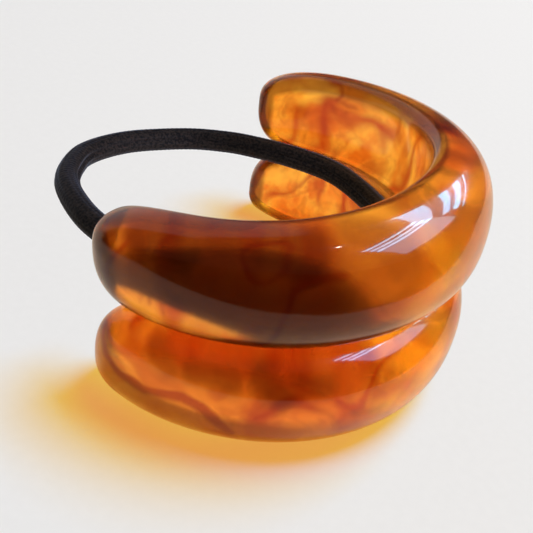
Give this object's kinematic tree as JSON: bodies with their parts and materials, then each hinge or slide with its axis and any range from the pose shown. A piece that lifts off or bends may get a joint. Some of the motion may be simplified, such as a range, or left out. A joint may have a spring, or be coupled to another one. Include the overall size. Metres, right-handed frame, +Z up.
{
  "type": "ponytail cuff hair tie",
  "caption": "C-shaped clear resin ponytail cuff, cast as two puffed lobes one above the other, with a round elastic loop held inside the middle of the arc.",
  "frame": {"origin": "bottom centre of the box of the cuff and its keeper, on the surface that the cuff stands on, without the elastic", "axes": "+Z up, -X towards the open side of the C, where the elastic runs out, Y along the cuff's widest extent"},
  "size_m": [0.0525, 0.0502, 0.0285],
  "materials": {
    "resin": "polished clear amber resin with smoky brown veins",
    "keeper": "plain black",
    "elastic": "knitted black cover"
  },
  "bodies": {
    "root": {"cuff": "resin", "elastic_keeper": "keeper", "elastic_loop": "elastic"}
  },
  "joints": []
}
